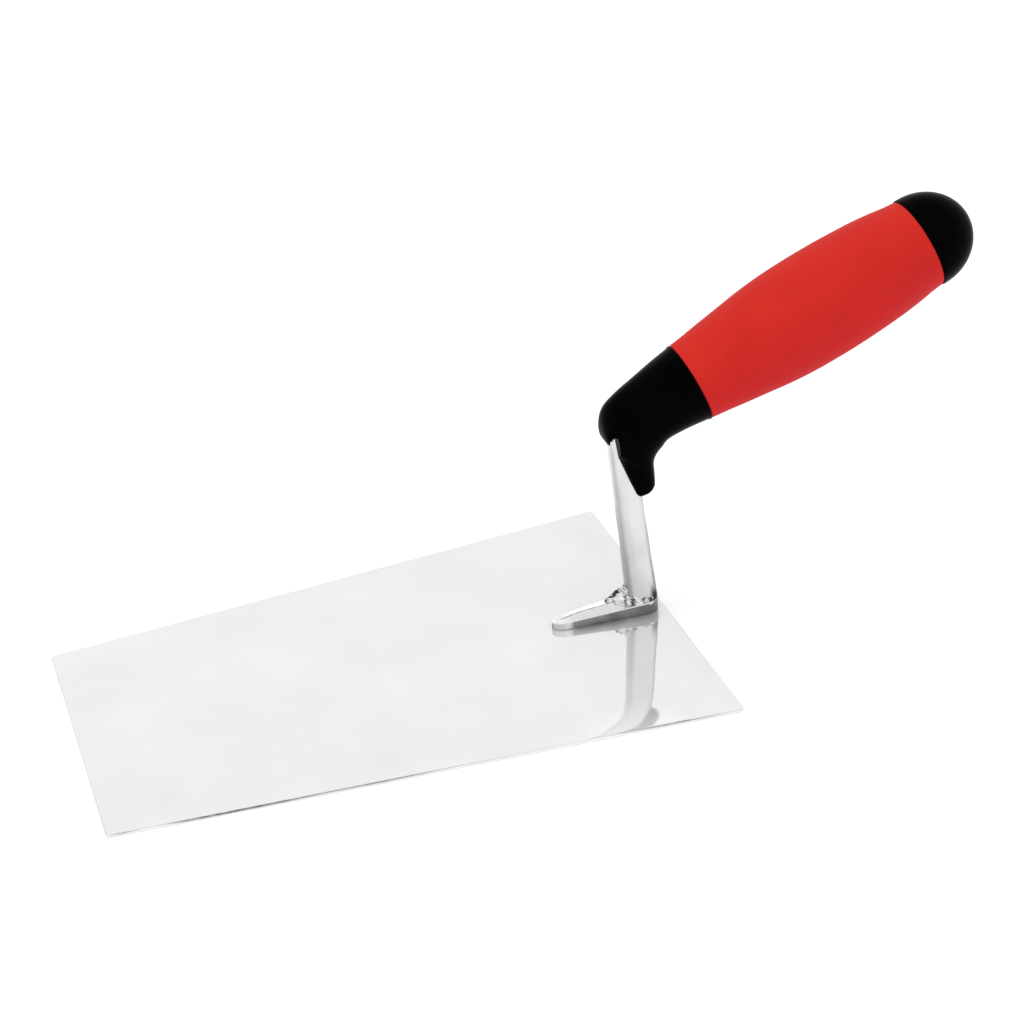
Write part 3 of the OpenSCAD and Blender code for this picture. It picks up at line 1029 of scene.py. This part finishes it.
def make_floor():
    """Pale seamless floor, a hair's breadth under the blade. Its size is in metres."""
    half, gap_mm = 12.0, 0.02
    corners = [(-half, -half, 0), (half, -half, 0), (half, half, 0), (-half, half, 0)]
    mesh = bpy.data.meshes.new("floor")
    mesh.from_pydata(corners, [], [(0, 1, 2, 3)])
    floor = bpy.data.objects.new("floor", mesh)
    floor.location.z = -gap_mm * MM
    floor.data.materials.append(floor_paper())
    bpy.context.scene.collection.objects.link(floor)


# Tones of the studio: the sweep behind the object by height (0 level, 1 overhead), the dimmer room
# in front of it, and what the camera sees past the floor
SWEEP_TONES = [(0.0, 1.0), (0.12, 1.0), (0.35, 0.78), (0.55, 0.74), (0.85, 0.62), (1.0, 0.6)]
ROOM_TONE = 0.74
SEEN_TONE = 0.8
WORLD_STRENGTH = 1.3
# Which way the sweep lies, and where the room ends and the sweep begins, as cosines from that way
SWEEP_WAY = Vector((0.12, 0.99, 0.1)).normalized()
ROOM_END, SWEEP_START = -0.6, 0.3


def make_world():
    """A studio with a bright sweep behind the object and a dimmer room in front of it."""
    world = bpy.data.worlds.new("studio")
    bpy.context.scene.world = world
    world.use_nodes = True
    tree = world.node_tree
    nodes, links = tree.nodes, tree.links
    where = nodes.new("ShaderNodeTexCoord")
    parts = nodes.new("ShaderNodeSeparateXYZ")
    links.new(where.outputs["Generated"], parts.inputs["Vector"])
    sweep = nodes.new("ShaderNodeValToRGB")
    while len(sweep.color_ramp.elements) < len(SWEEP_TONES):
        sweep.color_ramp.elements.new(0.5)
    for stop, (height, tone) in zip(sweep.color_ramp.elements, SWEEP_TONES):
        stop.position = height
        stop.color = (*grey(tone), 1)
    links.new(parts.outputs["Z"], sweep.inputs["Fac"])
    towards = nodes.new("ShaderNodeVectorMath")
    towards.operation = "DOT_PRODUCT"
    towards.inputs[1].default_value = SWEEP_WAY
    links.new(where.outputs["Generated"], towards.inputs[0])
    turn = nodes.new("ShaderNodeMapRange")
    turn.interpolation_type = "SMOOTHSTEP"
    turn.inputs["From Min"].default_value = ROOM_END
    turn.inputs["From Max"].default_value = SWEEP_START
    links.new(towards.outputs["Value"], turn.inputs["Value"])
    room = nodes.new("ShaderNodeMix")
    room.data_type = "RGBA"
    room.inputs[Nodes.MIX_A].default_value = (*grey(ROOM_TONE), 1)
    links.new(turn.outputs["Result"], room.inputs["Factor"])
    links.new(sweep.outputs["Color"], room.inputs[Nodes.MIX_B])
    path = nodes.new("ShaderNodeLightPath")
    seen = nodes.new("ShaderNodeMix")
    seen.data_type = "RGBA"
    seen.inputs[Nodes.MIX_B].default_value = (*grey(SEEN_TONE), 1)
    links.new(path.outputs["Is Camera Ray"], seen.inputs["Factor"])
    links.new(room.outputs[Nodes.MIX_RESULT], seen.inputs[Nodes.MIX_A])
    links.new(seen.outputs[Nodes.MIX_RESULT], nodes["Background"].inputs["Color"])
    nodes["Background"].inputs["Strength"].default_value = WORLD_STRENGTH


def make_lamp(name, place, target, size, power):
    """A soft square lamp, aimed at a point and seen in no reflection. Places are in metres."""
    data = bpy.data.lights.new(name, "AREA")
    data.shape = "SQUARE"
    data.size = size
    data.energy = power
    lamp = bpy.data.objects.new(name, data)
    lamp.location = place
    lamp.rotation_euler = (Vector(target) - Vector(place)).to_track_quat("-Z", "Y").to_euler()
    lamp.visible_camera = False
    lamp.visible_glossy = False
    bpy.context.scene.collection.objects.link(lamp)


# The photo's camera, fitted to the blade's corners: its place in the CAD frame, azimuth, elevation
# and roll in degrees, and the lens for a 36 mm wide sensor
CAMERA_PLACE = Vector((-137.473, -640.066, 421.077))
CAMERA_ANGLES = (-16.2837, 29.1999, -4.4275)
CAMERA_LENS = 83.01
CAMERA_SENSOR = 36.0


def make_camera():
    """The camera, at its place and turned by its angles."""
    azimuth, elevation, roll = (math.radians(a) for a in CAMERA_ANGLES)
    flat = Vector((math.sin(azimuth), -math.cos(azimuth), 0))
    back = math.cos(elevation) * flat + math.sin(elevation) * Vector((0, 0, 1))
    level = (-back).cross(Vector((0, 0, 1))).normalized()
    upright = level.cross(-back)
    right = math.cos(roll) * level + math.sin(roll) * upright
    up = -math.sin(roll) * level + math.cos(roll) * upright
    data = bpy.data.cameras.new("camera")
    data.sensor_width = CAMERA_SENSOR
    data.lens = CAMERA_LENS
    data.clip_end = 100.0
    camera = bpy.data.objects.new("camera", data)
    turn = Matrix((right, up, back)).transposed().to_4x4()
    camera.matrix_world = Matrix.Translation(CAMERA_PLACE * MM) @ turn
    bpy.context.scene.collection.objects.link(camera)
    bpy.context.scene.camera = camera


def dress_cad_node(node, material):
    """Gives a carried-over CAD node its material."""
    obj = frame["nodes"][node]
    obj.data.materials.clear()
    obj.data.materials.append(material)


make_camera()
make_world()
make_floor()
make_lamp("overhead", (-0.1, 0.1, 1.6), (0, 0, 0), 1.6, 14.0)
make_lamp("front_fill", (-0.4, -1.5, 0.9), (0.1, 0, 0.08), 1.2, 6.0)

make_blade()
make_foot()
make_shank()
make_weld()
make_sleeve()
make_cap()
make_nose()
dress_cad_node("handle_core", core_plastic())
dress_cad_node("foot_spot_welds", weld_metal())

bpy.context.scene.view_settings.view_transform = "Standard"
